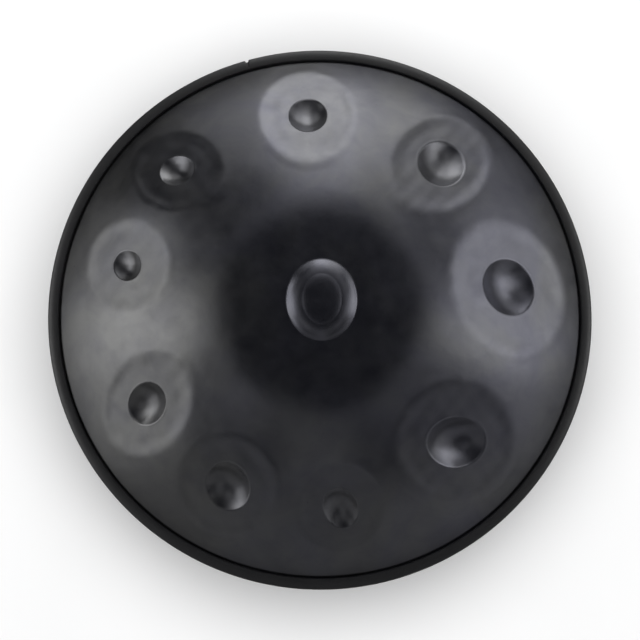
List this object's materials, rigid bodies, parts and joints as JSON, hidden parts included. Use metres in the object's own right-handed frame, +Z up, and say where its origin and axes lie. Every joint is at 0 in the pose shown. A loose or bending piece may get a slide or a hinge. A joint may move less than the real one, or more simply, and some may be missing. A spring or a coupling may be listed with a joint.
{
  "type": "handpan",
  "caption": "Domed steel hand drum: two glued shells with a raised centre note, a ring of dimpled tone fields, a sound port underneath and a rubber rim trim",
  "frame": {"origin": "bottom centre, level with the flat ring round the sound port", "axes": "+Z up through the centre note, +X and +Y towards the tone fields at azimuth 0 and 90 degrees"},
  "size_m": [0.56, 0.56, 0.2272],
  "materials": {
    "nitrided_steel_top": "satin nitrided, dark grey",
    "nitrided_steel_bottom": "satin nitrided, dark grey",
    "adhesive": "cured, dark",
    "trim_rubber": "matte black",
    "clip_steel": "bare spring steel"
  },
  "bodies": {
    "root": {"top_shell": "nitrided_steel_top", "bottom_shell": "nitrided_steel_bottom", "flange_adhesive": "adhesive", "rim_trim": "trim_rubber", "trim_clips": "clip_steel"}
  },
  "joints": []
}
